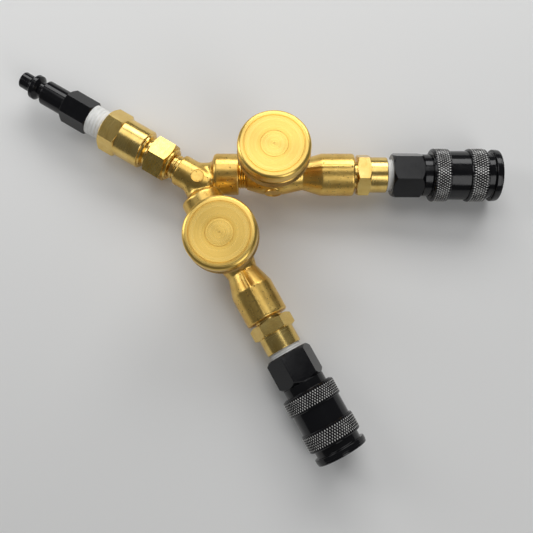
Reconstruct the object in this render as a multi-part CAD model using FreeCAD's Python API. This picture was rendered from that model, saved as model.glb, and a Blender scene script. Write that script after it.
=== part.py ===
import FreeCAD, Part

import os
from math import atan, cos, pi, radians, sin, tan

from FreeCAD import Vector

# A brass Y fitting for a gas or air hose: one plug inlet, two shut-off valves
# and two quick couplers. All sizes are in millimetres.
# Each arm is built in its own frame: x runs outward from the point where the
# three arm axes meet, z is the valve stem, and the arm is then laid in place.

# Layout of the three arms
OUTLET_ANGLE = 30.5            # each outlet from the line of the inlet
STEM_SPLAY = 4.0               # each valve is tightened a little outward
RUN_CLEARANCE = 0.05           # radial gap of every running fit
SEAT_CLEARANCE = 0.03          # gap at a seat that opens and closes
PASSAGE_R = 3.2                # main gas passage
EDGE_ROUND = 0.4               # radius on small turned edges
OVERRUN = 1.0                  # how far joined forms and cutters run into each other
HEX_FACE_SHY = 0.1             # end face of a hexagon inside its flats
HEX_CHAMFER = 0.58             # length of a hexagon's corner chamfer for each mm that it cuts in

# Inlet plug, quarter inch industrial pattern
PLUG_NOSE_R = 3.95
PLUG_NOSE_L = 5.2
PLUG_RING_R = 5.95
PLUG_RING_L = 1.8
PLUG_SLOPE_L = 1.7
PLUG_NECK_R = 4.0
PLUG_NECK_L = 1.6
PLUG_COLLAR_SLOPE_L = 1.2
PLUG_COLLAR_L = 12.1
PLUG_HEX_AF = 14.29
PLUG_HEX_L = 14.0
PLUG_BORE_R = 2.6
PLUG_HEX_ROLL = -13.0

# Tapered pipe thread, quarter inch, with its sealing tape
PIPE_R = 6.85
PIPE_TAPER = 0.03125
PIPE_THREAD_L = 12.6
TAPE_THICK = 0.4

# Inlet adapter
INLET_TAPE_SHOWN = 8.4
INLET_HEX_AF = 18.3
INLET_HEX_L = 9.0
INLET_HEX_ROLL = -11.0
INLET_BARREL_R = 9.4
INLET_BARREL_L = 13.1
INLET_BARREL_ROUND = 0.7
INLET_LIP_R = 8.1
INLET_LIP_L = 0.7
HOSE_THREAD_R = 7.15
HOSE_THREAD_SHOWN = 2.7
HOSE_THREAD_IN_NUT = 5.9
HOSE_THREAD_PITCH = 1.35
HOSE_THREAD_DEPTH = 0.45

# Union nut and the nipple that it holds
NUT_AF = 17.46
NUT_HEX_L = 9.8
NUT_HEX_ROLL = 19.0
NUT_SHOULDER_R = 7.7
NUT_SHOULDER_L = 1.5
NUT_SHOULDER_ROUND = 1.0
NUT_LIP_L = 2.6
NIPPLE_RING_R = 6.0
NIPPLE_RING_L = 1.1
NIPPLE_GROOVE_L = 0.4
NIPPLE_GROOVE_DEPTH = 0.55
NIPPLE_SHOWN = 3.7
NIPPLE_NECK_R = 4.7
NIPPLE_HEAD_R = 6.4
NIPPLE_HEAD_L = 1.7
NIPPLE_NOSE_R = 5.2
NIPPLE_NOSE_TIP_R = 3.9
NIPPLE_NOSE_L = 3.4
NIPPLE_THREAD_R = 5.0
NIPPLE_THREAD_L = 8.9

# Y body
BOSS_R = 7.4
BOSS_REACH = 4.5
BOSS_ROUND = 0.6
COLLAR_R = 9.55
COLLAR_REACH = 23.7
COLLAR_L = 11.8
COLLAR_ROUND = 1.8
COLLAR_THREAD_L = 9.4
ARM_NECK_R = 5.4
ARM_NECK_ROUND = 2.3
CROTCH_ROUND = 3.0
BADGE_R = 3.1
BADGE_RIM = 0.35
BADGE_RIM_H = 0.15
BADGE_X = 6.0
BADGE_PROUD = 0.15

# Valve body
VALVE_THREAD_R = 6.7
VALVE_THREAD_L = 13.0
VALVE_THREAD_SHOWN = 3.7
VALVE_THREAD_PITCH = 1.25
VALVE_THREAD_DEPTH = 0.5
VALVE_NECK_R = 7.15
VALVE_BULGE_R = 9.25
VALVE_STEM_X = 12.2
VALVE_BULGE_L = 9.6
VALVE_BULGE_ROUND = 9.0
VALVE_BODY_L = 25.9
VALVE_CONE_L = 8.7
VALVE_BARREL_R = 9.8
VALVE_BARREL_L = 15.0
VALVE_BARREL_ROUND = 1.0
VALVE_SOCKET_R = 6.6
VALVE_SOCKET_L = 13.0
SEAM_W = 1.1
SEAM_H = 0.3
SEAM_LEAD = 4.0
SEAM_ROLL = {"a": 5.0, "b": 9.0}
MEDAL_R = 4.0
MEDAL_RIM = 0.6
MEDAL_DEPTH = 0.35
MEDAL_PROUD = 0.3

# Valve seat, ball and stem, measured up the stem axis from the arm axis
ORIFICE_R = 1.5
SEAT_Z = 0.6
DRILL_R = 1.9
INLET_DRILL_Z = -2.6
OUTLET_DRILL_Z = 3.4
CHAMBER_R = 3.6
BALL_R = 2.4
STEM_CUP_R = 3.0
STEM_CUP_L = 3.2
STEM_CUP_BELOW = 0.2
STEM_SLOPE_L = 0.6
STEM_STOP_GAP = 0.1
STEM_SHANK_R = 2.5
STEM_PITCH = 1.25
STEM_TURNS = 3.0
BONNET_BOSS_R = 7.9
BONNET_BOSS_Z = 11.2
BONNET_NECK_R = 5.6
BONNET_NECK_Z = 15.6

# Packing and its nut
WASHER_THICK = 0.6
PACKING_THICK = 2.0
PACKING_R = 5.0
PACKING_NUT_AF = 15.88
PACKING_NUT_HEX_L = 7.0
PACKING_NUT_TOP_R = 6.2
PACKING_NUT_WALL = 1.9
PACKING_NUT_GAP = 0.3

# Knob
KNOB_BOTTOM_Z = 23.6
KNOB_H = 11.0
KNOB_R = 15.9
KNOB_BAND_H = 4.6
KNOB_STEP_R = 15.0
KNOB_STEP_H = 1.1
KNOB_BEAD_R = 15.7
KNOB_BEAD_ROUND = 1.5
KNOB_GROOVE_R = 12.9
KNOB_GROOVE_W = 0.5
KNOB_GROOVE_DEPTH = 0.3
KNOB_DISH = 0.35
KNOB_CENTRE_R = 5.9
KNOB_LINE_W = 0.2
KNOB_LINE_DEPTH = 0.15
KNOB_HUB_R = 6.0
KNOB_RECESS_R = 12.6
KNOB_RECESS_DEPTH = 3.2
KNOB_STEM_DEPTH = 7.6

# Outlet adapter
ADAPTER_GAP = 1.2
ADAPTER_HEX_AF = 17.46
ADAPTER_HEX_L = 6.2
ADAPTER_BARREL_R = 8.2
ADAPTER_BARREL_L = 7.9
ADAPTER_THREAD_L = 12.5
ADAPTER_RELIEF = 0.4
OUTLET_TAPE_SHOWN = 2.3
OUTLET_TAPE_HIDDEN = 3.4

# Coupler tail, barrel and sleeve
TAIL_HEX_AF = 19.05
TAIL_HEX_L = 14.3
TAIL_SOCKET_L = 8.4
BARREL_THREAD_R = 7.6
BARREL_WALL = 2.6              # round the socket's bore
BARREL_NECK_L = 9.1
BARREL_END_GAP = 0.8
SOCKET_CLEARANCE = 0.05        # round the ring of an inserted plug
SOCKET_GUIDE_CLEARANCE = 0.25  # round the collar of an inserted plug
SOCKET_LAND = 0.6              # between the locking balls' holes and the guide bore
SOCKET_LEAD = 0.8
SLEEVE_TRAVEL = 3.7
SLEEVE_LEAD_L = 0.4
SLEEVE_SPRING_ROOM = 1.05
SLEEVE_WALL = 1.6
SLEEVE_BAND_PROUD = 1.1
SLEEVE_BAND_1_L = 7.5
SLEEVE_MIDDLE_L = 9.0
SLEEVE_BAND_2_L = 8.1
SLEEVE_NECK_WALL = 1.1
SLEEVE_NECK_L = 3.2
SLEEVE_FLANGE_WALL = 1.65
SLEEVE_FLANGE_L = 3.2
SLEEVE_FLANGE_ROUND = 0.8
SLEEVE_SEAT_FROM_END = 14.0
SLEEVE_MOUTH_L = 2.8

# Coupler locking balls, spring, ring, seal and poppet
LOCK_BALL_COUNT = 4
LOCK_BALL_FROM_END = 9.0
LOCK_BALL_PROUD = 0.55         # into the socket while the ball is locked
LOCK_BALL_CLEAR = 0.1          # past the socket's wall once it is released
LOCK_HOLE_LIP = 0.35
RETAINER_W = 1.0
RETAINER_PROUD = 1.5
RETAINER_GROOVE_DEPTH = 0.6
RETAINER_CLEARANCE = 0.2
RETAINER_GAP = 2.4
SEAL_SEAT_DEPTH = 0.6
SEAL_SQUEEZE = 0.05            # on the nose of an inserted plug
SEAL_LEDGE = 1.0
SEAL_L = 3.1
SEAL_FROM_END = 15.4
POPPET_HEAD_GAP = 0.4
POPPET_HEAD_L = 2.0
POPPET_BOSS_GAP = 0.6
POPPET_BOSS_L = 1.3
POPPET_STEM_R = 1.6
POPPET_STEM_L = 10.0
POPPET_SLOT_W = 1.4
POPPET_SLOT_DEPTH = 0.8
POPPET_WIRE_R = 0.3
POPPET_SPRING_R = 3.6
POPPET_SPRING_TURNS = 7
SLEEVE_WIRE_R = 0.3
SLEEVE_SPRING_TURNS = 4
SPRING_SECTIONS = 12
WIRE_SIDES = 6
TAIL_ROLL = {"a": 0.0, "b": -12.0}

# Stations along the inlet arm, outward from the hub
nut_near = BOSS_REACH + NIPPLE_SHOWN
nut_hex_near = nut_near + NUT_SHOULDER_L
nut_far = nut_hex_near + NUT_HEX_L
inlet_barrel_near = nut_far + HOSE_THREAD_SHOWN
hose_thread_end = nut_far - HOSE_THREAD_IN_NUT
inlet_hex_near = inlet_barrel_near + INLET_BARREL_L
inlet_hex_far = inlet_hex_near + INLET_HEX_L
plug_hex_near = inlet_hex_far + INLET_TAPE_SHOWN
plug_hex_far = plug_hex_near + PLUG_HEX_L
plug_collar_far = plug_hex_far + PLUG_COLLAR_L
plug_neck_near = plug_collar_far + PLUG_COLLAR_SLOPE_L
plug_neck_far = plug_neck_near + PLUG_NECK_L
plug_ring_near = plug_neck_far + PLUG_SLOPE_L
plug_ring_far = plug_ring_near + PLUG_RING_L
plug_nose_near = plug_ring_far + PLUG_SLOPE_L
plug_tip = plug_nose_near + PLUG_NOSE_L

# Stations along an outlet arm, outward from the hub
valve_start = COLLAR_REACH + VALVE_THREAD_SHOWN
valve_thread_end = valve_start - VALVE_THREAD_L
stem_x = valve_start + VALVE_STEM_X
valve_neck_x = valve_start + VALVE_BODY_L
valve_barrel_x = valve_neck_x + VALVE_CONE_L
valve_end = valve_barrel_x + VALVE_BARREL_L
valve_socket_floor = valve_end - VALVE_SOCKET_L
adapter_hex_x = valve_end + ADAPTER_GAP
adapter_barrel_x = adapter_hex_x + ADAPTER_HEX_L
adapter_end = adapter_barrel_x + ADAPTER_BARREL_L
tail_hex_x = adapter_end + OUTLET_TAPE_SHOWN
tail_hex_end = tail_hex_x + TAIL_HEX_L
tail_socket_floor = tail_hex_end - TAIL_SOCKET_L
sleeve_start = tail_hex_end + SLEEVE_TRAVEL
band_1_x = sleeve_start + SLEEVE_LEAD_L
middle_x = band_1_x + SLEEVE_BAND_1_L
band_2_x = middle_x + SLEEVE_MIDDLE_L
sleeve_neck_x = band_2_x + SLEEVE_BAND_2_L
flange_x = sleeve_neck_x + SLEEVE_NECK_L
sleeve_end = flange_x + SLEEVE_FLANGE_L
sleeve_seat_x = sleeve_end - SLEEVE_SEAT_FROM_END
mouth_shoulder_x = sleeve_end - SLEEVE_MOUTH_L
barrel_end = sleeve_end - BARREL_END_GAP
barrel_shoulder_x = tail_hex_end + BARREL_NECK_L
lock_ball_x = sleeve_end - LOCK_BALL_FROM_END
seal_far = sleeve_end - SEAL_FROM_END
seal_near = seal_far - SEAL_L

# Radii of a coupler, outward from the plug that its socket takes
socket_r = PLUG_RING_R + SOCKET_CLEARANCE
guide_r = PLUG_RING_R + SOCKET_GUIDE_CLEARANCE
barrel_r = socket_r + BARREL_WALL
barrel_neck_r = barrel_r + SLEEVE_SPRING_ROOM
retainer_r = barrel_r + RETAINER_PROUD
seal_r = socket_r + SEAL_SEAT_DEPTH
seal_bore_r = PLUG_NOSE_R - SEAL_SQUEEZE
chamber_r = seal_r - SEAL_LEDGE
lock_ball_r = (BARREL_WALL + LOCK_BALL_PROUD + RUN_CLEARANCE) / 2.0
lock_ball_centre = socket_r - LOCK_BALL_PROUD + lock_ball_r
lock_ball_travel = LOCK_BALL_PROUD + LOCK_BALL_CLEAR
lock_hole_r = lock_ball_r + RUN_CLEARANCE
sleeve_bore_r = barrel_neck_r + RUN_CLEARANCE
sleeve_ridge_r = barrel_r + RUN_CLEARANCE
sleeve_slope = lock_ball_travel / SLEEVE_TRAVEL
sleeve_over_ball = lock_ball_centre + (lock_ball_r + SEAT_CLEARANCE) / cos(atan(sleeve_slope))
sleeve_relief_r = sleeve_over_ball + lock_ball_travel
sleeve_middle_r = sleeve_bore_r + SLEEVE_WALL
sleeve_band_r = sleeve_middle_r + SLEEVE_BAND_PROUD
sleeve_neck_r = sleeve_relief_r + SLEEVE_NECK_WALL
sleeve_mouth_r = retainer_r + RETAINER_CLEARANCE
sleeve_flange_r = sleeve_mouth_r + SLEEVE_FLANGE_WALL

# The inlet plug's collar is the reference of the whole part
hub_x = (plug_collar_far + plug_hex_far) / 2.0
HUB = Vector(hub_x, 0, 0)

# Heights up the stem
seat_angle = radians(45.0)
ball_z = SEAT_Z - ORIFICE_R + (BALL_R + SEAT_CLEARANCE) / sin(seat_angle)
cup_bottom_z = ball_z - STEM_CUP_BELOW
stem_thread_z = cup_bottom_z + STEM_CUP_L
washer_z = BONNET_NECK_Z
stem_travel = STEM_PITCH * STEM_TURNS
stem_shank_z = washer_z - stem_travel - STEM_STOP_GAP
stem_thread_top = stem_shank_z - STEM_SLOPE_L
packing_z = washer_z + WASHER_THICK
packing_top = packing_z + PACKING_THICK
knob_top_z = KNOB_BOTTOM_Z + KNOB_H


def corner_wire(corners):
    """Closed wire through (u, v) or (u, v, radius) corners, rounded where a radius is given."""
    points = [Vector(c[0], c[1], 0) for c in corners]
    radii = [c[2] if len(c) > 2 else 0 for c in corners]
    count = len(points)
    starts = []
    ends = []
    arcs = []
    for i in range(count):
        here = points[i]
        if not radii[i]:
            starts.append(here)
            ends.append(here)
            arcs.append(None)
            continue
        back = (points[i - 1] - here).normalize()
        ahead = (points[(i + 1) % count] - here).normalize()
        half = back.getAngle(ahead) / 2.0
        reach = radii[i] / tan(half)
        first = here + back * reach
        last = here + ahead * reach
        bisector = (back + ahead).normalize()
        middle = here + bisector * (radii[i] / sin(half) - radii[i])
        starts.append(first)
        ends.append(last)
        arcs.append(Part.Arc(first, middle, last).toShape())
    edges = []
    for i in range(count):
        if arcs[i]:
            edges.append(arcs[i])
        after = starts[(i + 1) % count]
        if (after - ends[i]).Length > 1e-6:
            edges.append(Part.LineSegment(ends[i], after).toShape())
    return Part.Wire(edges)


def turned(corners):
    """Solid turned about the x axis from an (x, radius) outline."""
    face = Part.Face(corner_wire(corners))
    return face.revolve(Vector(0, 0, 0), Vector(1, 0, 0), 360)


def stood(corners, at_x=0.0):
    """Solid turned about the upright line at at_x, from a (height, radius) outline."""
    solid = turned(corners)
    solid.rotate(Vector(0, 0, 0), Vector(0, 1, 0), -90)
    solid.translate(Vector(at_x, 0, 0))
    return solid


def rod(x0, x1, radius, y=0.0, z=0.0):
    return Part.makeCylinder(radius, x1 - x0, Vector(x0, y, z), Vector(1, 0, 0))


def post(z0, z1, radius, x=0.0, y=0.0):
    return Part.makeCylinder(radius, z1 - z0, Vector(x, y, z0), Vector(0, 0, 1))


def hexagon_bar(x0, x1, across_flats, roll=0.0, ends="both"):
    """Hexagon bar along x, one flat up, with its corners turned off at the ends."""
    corner_r = across_flats / 2.0 / cos(pi / 6)
    ring = []
    for i in range(7):
        angle = pi / 3 * i
        ring.append(Vector(x0, corner_r * cos(angle), corner_r * sin(angle)))
    bar = Part.Face(Part.makePolygon(ring)).extrude(Vector(x1 - x0, 0, 0))
    flat_r = across_flats / 2.0 - HEX_FACE_SHY
    cut = (corner_r - flat_r) * HEX_CHAMFER
    near = cut if ends in ("both", "near") else 0.0
    far = cut if ends in ("both", "far") else 0.0
    outline = [(x0, 0)]
    outline.append((x0, flat_r if near else corner_r + OVERRUN))
    if near:
        outline.append((x0 + near, corner_r))
    if far:
        outline.append((x1 - far, corner_r))
    outline.append((x1, flat_r if far else corner_r + OVERRUN))
    outline.append((x1, 0))
    bar = bar.common(turned(outline))
    bar.rotate(Vector(0, 0, 0), Vector(1, 0, 0), roll)
    return bar


def thread_ridges(x0, x1, radius, pitch, depth):
    """Outline points of the thread crests that show between x0 and x1."""
    points = []
    count = int((x1 - x0) / pitch)
    start = x1 - count * pitch
    points.append((x0, radius - depth))
    for i in range(count):
        left = start + i * pitch
        points.append((left + pitch * 0.1, radius - depth))
        points.append((left + pitch * 0.4, radius))
        points.append((left + pitch * 0.6, radius))
        points.append((left + pitch * 0.9, radius - depth))
    points.append((x1, radius - depth))
    return points


def pipe_stub(shoulder_x, towards):
    """Tapered male pipe thread that leaves a shoulder in direction towards (+1 or -1)."""
    end_x = shoulder_x + towards * PIPE_THREAD_L
    end_r = PIPE_R - PIPE_THREAD_L * PIPE_TAPER
    return turned([(shoulder_x, 0), (shoulder_x, PIPE_R), (end_x, end_r), (end_x, 0)])


def tape_ring(shoulder_x, towards, length):
    """Sealing tape wound on the pipe thread, from its shoulder for a length."""
    end_x = shoulder_x + towards * length
    end_r = PIPE_R - length * PIPE_TAPER
    return turned([
        (shoulder_x, PIPE_R), (shoulder_x, PIPE_R + TAPE_THICK),
        (end_x, end_r + TAPE_THICK), (end_x, end_r),
    ])


def coil_spring(x0, x1, mean_r, wire_r, turns):
    """Compression spring along x between its two seats, lofted through sections of its wire."""
    rise = x1 - x0 - 2 * wire_r
    steps = round(turns * SPRING_SECTIONS)
    sections = []
    for i in range(steps + 1):
        turn = 2 * pi * i / SPRING_SECTIONS
        middle = x0 + wire_r + rise * i / steps
        ring = []
        for j in range(WIRE_SIDES + 1):
            angle = 2 * pi * j / WIRE_SIDES
            radius = mean_r + wire_r * cos(angle)
            ring.append(Vector(middle + wire_r * sin(angle), radius * cos(turn), radius * sin(turn)))
        sections.append(Part.makePolygon(ring))
    return Part.makeLoft(sections, True, True)


# Inlet pieces

def inlet_plug():
    outline = [
        (plug_hex_near, 0), (plug_hex_near, PLUG_RING_R), (plug_collar_far, PLUG_RING_R),
        (plug_neck_near, PLUG_NECK_R), (plug_neck_far, PLUG_NECK_R),
        (plug_ring_near, PLUG_RING_R, EDGE_ROUND), (plug_ring_far, PLUG_RING_R, EDGE_ROUND),
        (plug_nose_near, PLUG_NOSE_R), (plug_tip, PLUG_NOSE_R, EDGE_ROUND), (plug_tip, 0),
    ]
    plug = turned(outline)
    plug = plug.fuse(hexagon_bar(plug_hex_near, plug_hex_far, PLUG_HEX_AF, PLUG_HEX_ROLL))
    plug = plug.fuse(pipe_stub(plug_hex_near, -1))
    return plug.cut(rod(plug_hex_near - PIPE_THREAD_L, plug_tip, PLUG_BORE_R))


def inlet_tape():
    return tape_ring(plug_hex_near, -1, INLET_TAPE_SHOWN)


def nipple():
    thread_end = BOSS_REACH - NIPPLE_THREAD_L
    head_x = nut_near + NUT_LIP_L
    nose_x = head_x + NIPPLE_HEAD_L
    groove_r = NIPPLE_RING_R - NIPPLE_GROOVE_DEPTH
    ring_1_end = BOSS_REACH + NIPPLE_RING_L
    ring_2_x = ring_1_end + NIPPLE_GROOVE_L
    ring_2_end = ring_2_x + NIPPLE_RING_L
    outline = [
        (thread_end, PASSAGE_R), (thread_end, NIPPLE_THREAD_R), (BOSS_REACH, NIPPLE_THREAD_R),
        (BOSS_REACH, NIPPLE_RING_R), (ring_1_end, NIPPLE_RING_R, EDGE_ROUND),
        (ring_1_end, groove_r), (ring_2_x, groove_r),
        (ring_2_x, NIPPLE_RING_R, EDGE_ROUND), (ring_2_end, NIPPLE_RING_R, EDGE_ROUND),
        (ring_2_end, groove_r), (nut_near, groove_r),
        (nut_near, NIPPLE_NECK_R), (head_x, NIPPLE_NECK_R), (head_x, NIPPLE_HEAD_R),
        (nose_x, NIPPLE_HEAD_R), (nose_x, NIPPLE_NOSE_R),
        (nose_x + NIPPLE_NOSE_L, NIPPLE_NOSE_TIP_R), (nose_x + NIPPLE_NOSE_L, PASSAGE_R),
    ]
    return turned(outline)


def inlet_nut():
    lip_end = nut_near + NUT_LIP_L
    nut = hexagon_bar(nut_hex_near, nut_far, NUT_AF, NUT_HEX_ROLL)
    shoulder = turned([
        (nut_near, 0), (nut_near, NUT_SHOULDER_R, NUT_SHOULDER_ROUND), (nut_hex_near, NUT_SHOULDER_R),
        (nut_hex_near, 0),
    ])
    nut = nut.fuse(shoulder)
    hollow = turned([
        (nut_near, 0), (nut_near, NIPPLE_NECK_R), (lip_end, NIPPLE_NECK_R), (lip_end, HOSE_THREAD_R),
        (nut_far, HOSE_THREAD_R), (nut_far, 0),
    ])
    return nut.cut(hollow)


def inlet_adapter():
    outline = [(hose_thread_end, 0), (hose_thread_end, HOSE_THREAD_R), (nut_far, HOSE_THREAD_R)]
    outline += thread_ridges(nut_far, inlet_barrel_near, HOSE_THREAD_R, HOSE_THREAD_PITCH, HOSE_THREAD_DEPTH)
    outline += [
        (inlet_barrel_near, INLET_LIP_R), (inlet_barrel_near + INLET_LIP_L, INLET_LIP_R),
        (inlet_barrel_near + INLET_LIP_L, INLET_BARREL_R, INLET_BARREL_ROUND),
        (inlet_hex_near, INLET_BARREL_R), (inlet_hex_near, 0),
    ]
    adapter = turned(outline)
    adapter = adapter.fuse(hexagon_bar(inlet_hex_near, inlet_hex_far, INLET_HEX_AF, INLET_HEX_ROLL))
    adapter = adapter.cut(rod(hose_thread_end, inlet_hex_far, PASSAGE_R))
    return adapter.cut(pipe_stub(plug_hex_near, -1).fuse(inlet_tape()).fuse(nipple()))


# Y body

def y_collar():
    collar_x = COLLAR_REACH - COLLAR_L
    return turned([
        (0, 0), (0, ARM_NECK_R), (collar_x, ARM_NECK_R, ARM_NECK_ROUND), (collar_x, COLLAR_R, COLLAR_ROUND),
        (COLLAR_REACH, COLLAR_R, EDGE_ROUND), (COLLAR_REACH, 0),
    ])


def y_hollow():
    floor_x = COLLAR_REACH - COLLAR_THREAD_L
    return turned([
        (0, 0), (0, PASSAGE_R), (floor_x, PASSAGE_R), (floor_x, VALVE_THREAD_R),
        (COLLAR_REACH, VALVE_THREAD_R), (COLLAR_REACH, 0),
    ])


def y_body():
    crotch_x = (COLLAR_REACH - COLLAR_L) / cos(radians(OUTLET_ANGLE))
    body = turned([
        (-BOSS_REACH, 0), (-BOSS_REACH, BOSS_R, BOSS_ROUND), (crotch_x, BOSS_R, CROTCH_ROUND), (crotch_x, 0),
    ])
    for side in (1, -1):
        collar = y_collar()
        collar.rotate(Vector(0, 0, 0), Vector(0, 0, 1), side * OUTLET_ANGLE)
        body = body.fuse(collar)
    body = body.removeSplitter()
    badge_top = BOSS_R + BADGE_PROUD
    body = body.fuse(post(0, badge_top, BADGE_R, BADGE_X))
    body = body.cut(post(badge_top - BADGE_RIM_H, badge_top + OVERRUN, BADGE_R - BADGE_RIM, BADGE_X))
    for side in (1, -1):
        hollow = y_hollow()
        hollow.rotate(Vector(0, 0, 0), Vector(0, 0, 1), side * OUTLET_ANGLE)
        body = body.cut(hollow)
    body = body.cut(rod(-BOSS_REACH, NIPPLE_THREAD_L - BOSS_REACH, NIPPLE_THREAD_R))
    body.translate(HUB)
    return body


# Valve pieces

def valve_shell(grow=0.0):
    """Outer form of the forged body past its thread, larger all over by grow."""
    bulge_x0 = stem_x - VALVE_BULGE_L / 2.0
    bulge_x1 = stem_x + VALVE_BULGE_L / 2.0
    return turned([
        (valve_start, 0), (valve_start, VALVE_NECK_R + grow, EDGE_ROUND),
        (bulge_x0, VALVE_BULGE_R + grow, VALVE_BULGE_ROUND),
        (bulge_x1, VALVE_BULGE_R + grow, VALVE_BULGE_ROUND),
        (valve_neck_x, VALVE_NECK_R + grow, EDGE_ROUND), (valve_barrel_x, VALVE_BARREL_R + grow, EDGE_ROUND),
        (valve_end, VALVE_BARREL_R + grow, VALVE_BARREL_ROUND), (valve_end, 0),
    ])


def valve_seam(roll):
    """Raised parting line of the forging along the cone and barrel, rolled off their top."""
    slab_x = valve_neck_x - SEAM_LEAD
    slab = Part.makeBox(valve_end - slab_x, SEAM_W, VALVE_BARREL_R + OVERRUN, Vector(slab_x, -SEAM_W / 2.0, 0))
    slab.rotate(Vector(0, 0, 0), Vector(1, 0, 0), roll)
    return valve_shell(SEAM_H).common(slab)


def valve_body(seam_roll):
    body = valve_shell().fuse(valve_seam(seam_roll))
    boss = post(0, BONNET_BOSS_Z, BONNET_BOSS_R, stem_x)
    neck = post(0, BONNET_NECK_Z, BONNET_NECK_R, stem_x)
    body = body.fuse(boss).fuse(neck)
    medal_face = VALVE_BULGE_R + MEDAL_PROUD
    for side in (1, -1):
        outward = Vector(0, side, 0)
        floor = Vector(stem_x, side * (medal_face - MEDAL_DEPTH), 0)
        medal = Part.makeCylinder(MEDAL_R, medal_face, Vector(stem_x, 0, 0), outward)
        recess = Part.makeCylinder(MEDAL_R - MEDAL_RIM, MEDAL_DEPTH + OVERRUN, floor, outward)
        body = body.fuse(medal).cut(recess)
    thread = [(valve_thread_end, 0), (valve_thread_end, VALVE_THREAD_R), (COLLAR_REACH, VALVE_THREAD_R)]
    thread += thread_ridges(COLLAR_REACH, valve_start, VALVE_THREAD_R, VALVE_THREAD_PITCH, VALVE_THREAD_DEPTH)
    root_r = VALVE_THREAD_R - VALVE_THREAD_DEPTH
    thread += [(valve_start + OVERRUN, root_r), (valve_start + OVERRUN, 0)]
    body = body.fuse(turned(thread))
    body = body.cut(rod(valve_thread_end, valve_start + OVERRUN, PASSAGE_R))
    body = body.cut(rod(valve_start, stem_x, DRILL_R, 0, INLET_DRILL_Z))
    chamber = stood([
        (INLET_DRILL_Z, 0), (INLET_DRILL_Z, ORIFICE_R), (SEAT_Z, ORIFICE_R),
        (SEAT_Z + CHAMBER_R - ORIFICE_R, CHAMBER_R), (BONNET_NECK_Z, CHAMBER_R), (BONNET_NECK_Z, 0),
    ], stem_x)
    body = body.cut(chamber)
    body = body.cut(rod(stem_x + ORIFICE_R, valve_socket_floor + OVERRUN, DRILL_R, 0, OUTLET_DRILL_Z))
    return body.cut(rod(valve_socket_floor, valve_end, VALVE_SOCKET_R))


def valve_ball():
    return Part.makeSphere(BALL_R, Vector(stem_x, 0, ball_z))


def valve_stem():
    thread_r = CHAMBER_R - RUN_CLEARANCE
    shank_top = KNOB_BOTTOM_Z + KNOB_STEM_DEPTH
    stem = stood([
        (cup_bottom_z, 0), (cup_bottom_z, STEM_CUP_R), (stem_thread_z, STEM_CUP_R),
        (stem_thread_z + STEM_SLOPE_L, thread_r), (stem_thread_top, thread_r), (stem_shank_z, STEM_SHANK_R),
        (shank_top, STEM_SHANK_R), (shank_top, 0),
    ], stem_x)
    pocket = Part.makeSphere(BALL_R + SEAT_CLEARANCE, Vector(stem_x, 0, ball_z))
    return stem.cut(pocket)


def gland_washer():
    inner = STEM_SHANK_R + RUN_CLEARANCE
    return stood([
        (washer_z, inner), (washer_z, PACKING_R), (packing_z, PACKING_R), (packing_z, inner),
    ], stem_x)


def stem_packing():
    inner = STEM_SHANK_R + SEAT_CLEARANCE
    return stood([
        (packing_z, inner), (packing_z, PACKING_R), (packing_top, PACKING_R), (packing_top, inner),
    ], stem_x)


def packing_nut():
    bottom = BONNET_BOSS_Z + PACKING_NUT_GAP
    hex_top = bottom + PACKING_NUT_HEX_L
    top = packing_top + PACKING_NUT_WALL
    nut = hexagon_bar(bottom, hex_top, PACKING_NUT_AF)
    nut = nut.fuse(turned([
        (bottom, 0), (bottom, PACKING_NUT_TOP_R), (top, PACKING_NUT_TOP_R, EDGE_ROUND), (top, 0),
    ]))
    nut.rotate(Vector(0, 0, 0), Vector(0, 1, 0), -90)
    nut.translate(Vector(stem_x, 0, 0))
    hollow = stood([
        (bottom, 0), (bottom, BONNET_NECK_R), (BONNET_NECK_Z, BONNET_NECK_R), (BONNET_NECK_Z, PACKING_R),
        (packing_top, PACKING_R), (packing_top, STEM_SHANK_R + RUN_CLEARANCE),
        (top, STEM_SHANK_R + RUN_CLEARANCE), (top, 0),
    ], stem_x)
    return nut.cut(hollow)


def knob():
    low = KNOB_BOTTOM_Z
    band_top = low + KNOB_BAND_H
    step_top = band_top + KNOB_STEP_H
    top = knob_top_z
    groove_out = KNOB_GROOVE_R + KNOB_GROOVE_W / 2.0
    groove_in = KNOB_GROOVE_R - KNOB_GROOVE_W / 2.0
    stem_hole_top = low + KNOB_STEM_DEPTH
    recess_top = low + KNOB_RECESS_DEPTH
    dish = top - KNOB_DISH
    return stood([
        (low, STEM_SHANK_R), (low, KNOB_HUB_R),
        (recess_top, KNOB_HUB_R, EDGE_ROUND), (recess_top, KNOB_RECESS_R, EDGE_ROUND),
        (low, KNOB_RECESS_R), (low, KNOB_R, EDGE_ROUND), (band_top, KNOB_R, EDGE_ROUND),
        (band_top, KNOB_STEP_R), (step_top, KNOB_STEP_R),
        (step_top, KNOB_BEAD_R, EDGE_ROUND), (top, KNOB_BEAD_R, KNOB_BEAD_ROUND), (top, groove_out),
        (top - KNOB_GROOVE_DEPTH, groove_out), (top - KNOB_GROOVE_DEPTH, groove_in), (top, groove_in),
        (dish, KNOB_CENTRE_R + KNOB_LINE_W), (dish - KNOB_LINE_DEPTH, KNOB_CENTRE_R + KNOB_LINE_W / 2.0),
        (dish, KNOB_CENTRE_R), (dish, 0),
        (stem_hole_top, 0), (stem_hole_top, STEM_SHANK_R),
    ], stem_x)


# Outlet adapter

def outlet_tape():
    return tape_ring(tail_hex_x, -1, OUTLET_TAPE_SHOWN + OUTLET_TAPE_HIDDEN)


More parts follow.
